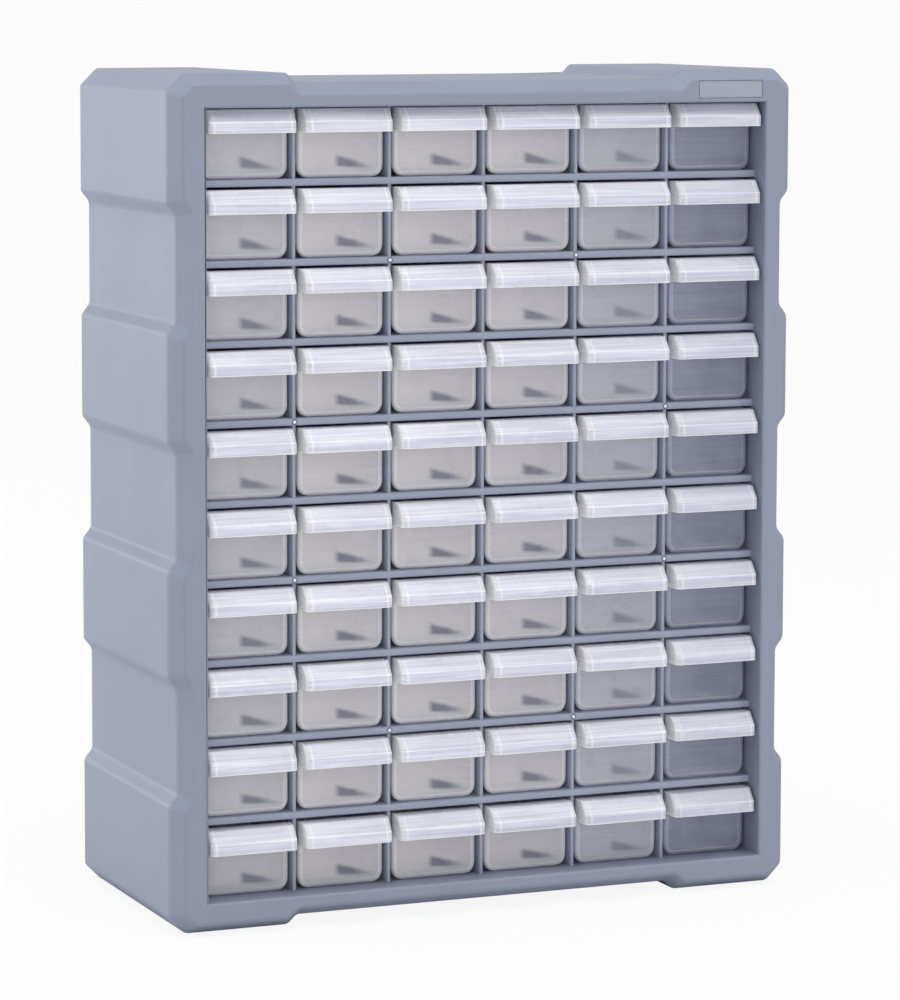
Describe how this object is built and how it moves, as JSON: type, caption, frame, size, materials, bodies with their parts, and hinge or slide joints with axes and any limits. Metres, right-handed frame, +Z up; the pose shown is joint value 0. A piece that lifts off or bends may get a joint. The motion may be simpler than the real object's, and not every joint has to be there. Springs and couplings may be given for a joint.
{
  "type": "parts bin cabinet",
  "caption": "Free-standing small-parts cabinet: slate plastic casing with a lattice of cells and translucent sliding drawers with full-width pull lips.",
  "frame": {"origin": "centre of the footprint, on the surface the cabinet stands on", "axes": "+X to the right seen from the front, +Y to the back, +Z up; the drawers pull out along -Y"},
  "size_m": [0.38, 0.16, 0.475],
  "materials": {
    "slate_plastic": "satin moulded polypropylene, blue-grey",
    "clear_plastic": "translucent frosted polypropylene"
  },
  "bodies": {
    "cabinet": {"casing": "slate_plastic", "back_panel": "slate_plastic", "lattice": "slate_plastic"},
    "drawer_r01_c1": {"drawer_r01_c1": "clear_plastic"},
    "drawer_r01_c2": {"drawer_r01_c2": "clear_plastic"},
    "drawer_r01_c3": {"drawer_r01_c3": "clear_plastic"},
    "drawer_r01_c4": {"drawer_r01_c4": "clear_plastic"},
    "drawer_r01_c5": {"drawer_r01_c5": "clear_plastic"},
    "drawer_r01_c6": {"drawer_r01_c6": "clear_plastic"},
    "drawer_r02_c1": {"drawer_r02_c1": "clear_plastic"},
    "drawer_r02_c2": {"drawer_r02_c2": "clear_plastic"},
    "drawer_r02_c3": {"drawer_r02_c3": "clear_plastic"},
    "drawer_r02_c4": {"drawer_r02_c4": "clear_plastic"},
    "drawer_r02_c5": {"drawer_r02_c5": "clear_plastic"},
    "drawer_r02_c6": {"drawer_r02_c6": "clear_plastic"},
    "drawer_r03_c1": {"drawer_r03_c1": "clear_plastic"},
    "drawer_r03_c2": {"drawer_r03_c2": "clear_plastic"},
    "drawer_r03_c3": {"drawer_r03_c3": "clear_plastic"},
    "drawer_r03_c4": {"drawer_r03_c4": "clear_plastic"},
    "drawer_r03_c5": {"drawer_r03_c5": "clear_plastic"},
    "drawer_r03_c6": {"drawer_r03_c6": "clear_plastic"},
    "drawer_r04_c1": {"drawer_r04_c1": "clear_plastic"},
    "drawer_r04_c2": {"drawer_r04_c2": "clear_plastic"},
    "drawer_r04_c3": {"drawer_r04_c3": "clear_plastic"},
    "drawer_r04_c4": {"drawer_r04_c4": "clear_plastic"},
    "drawer_r04_c5": {"drawer_r04_c5": "clear_plastic"},
    "drawer_r04_c6": {"drawer_r04_c6": "clear_plastic"},
    "drawer_r05_c1": {"drawer_r05_c1": "clear_plastic"},
    "drawer_r05_c2": {"drawer_r05_c2": "clear_plastic"},
    "drawer_r05_c3": {"drawer_r05_c3": "clear_plastic"},
    "drawer_r05_c4": {"drawer_r05_c4": "clear_plastic"},
    "drawer_r05_c5": {"drawer_r05_c5": "clear_plastic"},
    "drawer_r05_c6": {"drawer_r05_c6": "clear_plastic"},
    "drawer_r06_c1": {"drawer_r06_c1": "clear_plastic"},
    "drawer_r06_c2": {"drawer_r06_c2": "clear_plastic"},
    "drawer_r06_c3": {"drawer_r06_c3": "clear_plastic"},
    "drawer_r06_c4": {"drawer_r06_c4": "clear_plastic"},
    "drawer_r06_c5": {"drawer_r06_c5": "clear_plastic"},
    "drawer_r06_c6": {"drawer_r06_c6": "clear_plastic"},
    "drawer_r07_c1": {"drawer_r07_c1": "clear_plastic"},
    "drawer_r07_c2": {"drawer_r07_c2": "clear_plastic"},
    "drawer_r07_c3": {"drawer_r07_c3": "clear_plastic"},
    "drawer_r07_c4": {"drawer_r07_c4": "clear_plastic"},
    "drawer_r07_c5": {"drawer_r07_c5": "clear_plastic"},
    "drawer_r07_c6": {"drawer_r07_c6": "clear_plastic"},
    "drawer_r08_c1": {"drawer_r08_c1": "clear_plastic"},
    "drawer_r08_c2": {"drawer_r08_c2": "clear_plastic"},
    "drawer_r08_c3": {"drawer_r08_c3": "clear_plastic"},
    "drawer_r08_c4": {"drawer_r08_c4": "clear_plastic"},
    "drawer_r08_c5": {"drawer_r08_c5": "clear_plastic"},
    "drawer_r08_c6": {"drawer_r08_c6": "clear_plastic"},
    "drawer_r09_c1": {"drawer_r09_c1": "clear_plastic"},
    "drawer_r09_c2": {"drawer_r09_c2": "clear_plastic"},
    "drawer_r09_c3": {"drawer_r09_c3": "clear_plastic"},
    "drawer_r09_c4": {"drawer_r09_c4": "clear_plastic"},
    "drawer_r09_c5": {"drawer_r09_c5": "clear_plastic"},
    "drawer_r09_c6": {"drawer_r09_c6": "clear_plastic"},
    "drawers_r10_c12": {"drawers_r10_c12": "clear_plastic"},
    "drawers_r10_c34": {"drawers_r10_c34": "clear_plastic"},
    "drawers_r10_c56": {"drawers_r10_c56": "clear_plastic"}
  },
  "joints": [
    {"name": "drawer_r01_c1_slide", "type": "slide", "parent": "cabinet", "child": "drawer_r01_c1", "axis": [0, -1, 0], "range_m": [0, 0.12]},
    {"name": "drawer_r01_c2_slide", "type": "slide", "parent": "cabinet", "child": "drawer_r01_c2", "axis": [0, -1, 0], "range_m": [0, 0.12]},
    {"name": "drawer_r01_c3_slide", "type": "slide", "parent": "cabinet", "child": "drawer_r01_c3", "axis": [0, -1, 0], "range_m": [0, 0.12]},
    {"name": "drawer_r01_c4_slide", "type": "slide", "parent": "cabinet", "child": "drawer_r01_c4", "axis": [0, -1, 0], "range_m": [0, 0.12]},
    {"name": "drawer_r01_c5_slide", "type": "slide", "parent": "cabinet", "child": "drawer_r01_c5", "axis": [0, -1, 0], "range_m": [0, 0.12]},
    {"name": "drawer_r01_c6_slide", "type": "slide", "parent": "cabinet", "child": "drawer_r01_c6", "axis": [0, -1, 0], "range_m": [0, 0.12]},
    {"name": "drawer_r02_c1_slide", "type": "slide", "parent": "cabinet", "child": "drawer_r02_c1", "axis": [0, -1, 0], "range_m": [0, 0.12]},
    {"name": "drawer_r02_c2_slide", "type": "slide", "parent": "cabinet", "child": "drawer_r02_c2", "axis": [0, -1, 0], "range_m": [0, 0.12]},
    {"name": "drawer_r02_c3_slide", "type": "slide", "parent": "cabinet", "child": "drawer_r02_c3", "axis": [0, -1, 0], "range_m": [0, 0.12]},
    {"name": "drawer_r02_c4_slide", "type": "slide", "parent": "cabinet", "child": "drawer_r02_c4", "axis": [0, -1, 0], "range_m": [0, 0.12]},
    {"name": "drawer_r02_c5_slide", "type": "slide", "parent": "cabinet", "child": "drawer_r02_c5", "axis": [0, -1, 0], "range_m": [0, 0.12]},
    {"name": "drawer_r02_c6_slide", "type": "slide", "parent": "cabinet", "child": "drawer_r02_c6", "axis": [0, -1, 0], "range_m": [0, 0.12]},
    {"name": "drawer_r03_c1_slide", "type": "slide", "parent": "cabinet", "child": "drawer_r03_c1", "axis": [0, -1, 0], "range_m": [0, 0.12]},
    {"name": "drawer_r03_c2_slide", "type": "slide", "parent": "cabinet", "child": "drawer_r03_c2", "axis": [0, -1, 0], "range_m": [0, 0.12]},
    {"name": "drawer_r03_c3_slide", "type": "slide", "parent": "cabinet", "child": "drawer_r03_c3", "axis": [0, -1, 0], "range_m": [0, 0.12]},
    {"name": "drawer_r03_c4_slide", "type": "slide", "parent": "cabinet", "child": "drawer_r03_c4", "axis": [0, -1, 0], "range_m": [0, 0.12]},
    {"name": "drawer_r03_c5_slide", "type": "slide", "parent": "cabinet", "child": "drawer_r03_c5", "axis": [0, -1, 0], "range_m": [0, 0.12]},
    {"name": "drawer_r03_c6_slide", "type": "slide", "parent": "cabinet", "child": "drawer_r03_c6", "axis": [0, -1, 0], "range_m": [0, 0.12]},
    {"name": "drawer_r04_c1_slide", "type": "slide", "parent": "cabinet", "child": "drawer_r04_c1", "axis": [0, -1, 0], "range_m": [0, 0.12]},
    {"name": "drawer_r04_c2_slide", "type": "slide", "parent": "cabinet", "child": "drawer_r04_c2", "axis": [0, -1, 0], "range_m": [0, 0.12]},
    {"name": "drawer_r04_c3_slide", "type": "slide", "parent": "cabinet", "child": "drawer_r04_c3", "axis": [0, -1, 0], "range_m": [0, 0.12]},
    {"name": "drawer_r04_c4_slide", "type": "slide", "parent": "cabinet", "child": "drawer_r04_c4", "axis": [0, -1, 0], "range_m": [0, 0.12]},
    {"name": "drawer_r04_c5_slide", "type": "slide", "parent": "cabinet", "child": "drawer_r04_c5", "axis": [0, -1, 0], "range_m": [0, 0.12]},
    {"name": "drawer_r04_c6_slide", "type": "slide", "parent": "cabinet", "child": "drawer_r04_c6", "axis": [0, -1, 0], "range_m": [0, 0.12]},
    {"name": "drawer_r05_c1_slide", "type": "slide", "parent": "cabinet", "child": "drawer_r05_c1", "axis": [0, -1, 0], "range_m": [0, 0.12]},
    {"name": "drawer_r05_c2_slide", "type": "slide", "parent": "cabinet", "child": "drawer_r05_c2", "axis": [0, -1, 0], "range_m": [0, 0.12]},
    {"name": "drawer_r05_c3_slide", "type": "slide", "parent": "cabinet", "child": "drawer_r05_c3", "axis": [0, -1, 0], "range_m": [0, 0.12]},
    {"name": "drawer_r05_c4_slide", "type": "slide", "parent": "cabinet", "child": "drawer_r05_c4", "axis": [0, -1, 0], "range_m": [0, 0.12]},
    {"name": "drawer_r05_c5_slide", "type": "slide", "parent": "cabinet", "child": "drawer_r05_c5", "axis": [0, -1, 0], "range_m": [0, 0.12]},
    {"name": "drawer_r05_c6_slide", "type": "slide", "parent": "cabinet", "child": "drawer_r05_c6", "axis": [0, -1, 0], "range_m": [0, 0.12]},
    {"name": "drawer_r06_c1_slide", "type": "slide", "parent": "cabinet", "child": "drawer_r06_c1", "axis": [0, -1, 0], "range_m": [0, 0.12]},
    {"name": "drawer_r06_c2_slide", "type": "slide", "parent": "cabinet", "child": "drawer_r06_c2", "axis": [0, -1, 0], "range_m": [0, 0.12]},
    {"name": "drawer_r06_c3_slide", "type": "slide", "parent": "cabinet", "child": "drawer_r06_c3", "axis": [0, -1, 0], "range_m": [0, 0.12]},
    {"name": "drawer_r06_c4_slide", "type": "slide", "parent": "cabinet", "child": "drawer_r06_c4", "axis": [0, -1, 0], "range_m": [0, 0.12]},
    {"name": "drawer_r06_c5_slide", "type": "slide", "parent": "cabinet", "child": "drawer_r06_c5", "axis": [0, -1, 0], "range_m": [0, 0.12]},
    {"name": "drawer_r06_c6_slide", "type": "slide", "parent": "cabinet", "child": "drawer_r06_c6", "axis": [0, -1, 0], "range_m": [0, 0.12]},
    {"name": "drawer_r07_c1_slide", "type": "slide", "parent": "cabinet", "child": "drawer_r07_c1", "axis": [0, -1, 0], "range_m": [0, 0.12]},
    {"name": "drawer_r07_c2_slide", "type": "slide", "parent": "cabinet", "child": "drawer_r07_c2", "axis": [0, -1, 0], "range_m": [0, 0.12]},
    {"name": "drawer_r07_c3_slide", "type": "slide", "parent": "cabinet", "child": "drawer_r07_c3", "axis": [0, -1, 0], "range_m": [0, 0.12]},
    {"name": "drawer_r07_c4_slide", "type": "slide", "parent": "cabinet", "child": "drawer_r07_c4", "axis": [0, -1, 0], "range_m": [0, 0.12]},
    {"name": "drawer_r07_c5_slide", "type": "slide", "parent": "cabinet", "child": "drawer_r07_c5", "axis": [0, -1, 0], "range_m": [0, 0.12]},
    {"name": "drawer_r07_c6_slide", "type": "slide", "parent": "cabinet", "child": "drawer_r07_c6", "axis": [0, -1, 0], "range_m": [0, 0.12]},
    {"name": "drawer_r08_c1_slide", "type": "slide", "parent": "cabinet", "child": "drawer_r08_c1", "axis": [0, -1, 0], "range_m": [0, 0.12]},
    {"name": "drawer_r08_c2_slide", "type": "slide", "parent": "cabinet", "child": "drawer_r08_c2", "axis": [0, -1, 0], "range_m": [0, 0.12]},
    {"name": "drawer_r08_c3_slide", "type": "slide", "parent": "cabinet", "child": "drawer_r08_c3", "axis": [0, -1, 0], "range_m": [0, 0.12]},
    {"name": "drawer_r08_c4_slide", "type": "slide", "parent": "cabinet", "child": "drawer_r08_c4", "axis": [0, -1, 0], "range_m": [0, 0.12]},
    {"name": "drawer_r08_c5_slide", "type": "slide", "parent": "cabinet", "child": "drawer_r08_c5", "axis": [0, -1, 0], "range_m": [0, 0.12]},
    {"name": "drawer_r08_c6_slide", "type": "slide", "parent": "cabinet", "child": "drawer_r08_c6", "axis": [0, -1, 0], "range_m": [0, 0.12]},
    {"name": "drawer_r09_c1_slide", "type": "slide", "parent": "cabinet", "child": "drawer_r09_c1", "axis": [0, -1, 0], "range_m": [0, 0.12]},
    {"name": "drawer_r09_c2_slide", "type": "slide", "parent": "cabinet", "child": "drawer_r09_c2", "axis": [0, -1, 0], "range_m": [0, 0.12]},
    {"name": "drawer_r09_c3_slide", "type": "slide", "parent": "cabinet", "child": "drawer_r09_c3", "axis": [0, -1, 0], "range_m": [0, 0.12]},
    {"name": "drawer_r09_c4_slide", "type": "slide", "parent": "cabinet", "child": "drawer_r09_c4", "axis": [0, -1, 0], "range_m": [0, 0.12]},
    {"name": "drawer_r09_c5_slide", "type": "slide", "parent": "cabinet", "child": "drawer_r09_c5", "axis": [0, -1, 0], "range_m": [0, 0.12]},
    {"name": "drawer_r09_c6_slide", "type": "slide", "parent": "cabinet", "child": "drawer_r09_c6", "axis": [0, -1, 0], "range_m": [0, 0.12]},
    {"name": "drawers_r10_c12_slide", "type": "slide", "parent": "cabinet", "child": "drawers_r10_c12", "axis": [0, -1, 0], "range_m": [0, 0.12]},
    {"name": "drawers_r10_c34_slide", "type": "slide", "parent": "cabinet", "child": "drawers_r10_c34", "axis": [0, -1, 0], "range_m": [0, 0.12]},
    {"name": "drawers_r10_c56_slide", "type": "slide", "parent": "cabinet", "child": "drawers_r10_c56", "axis": [0, -1, 0], "range_m": [0, 0.12]}
  ]
}
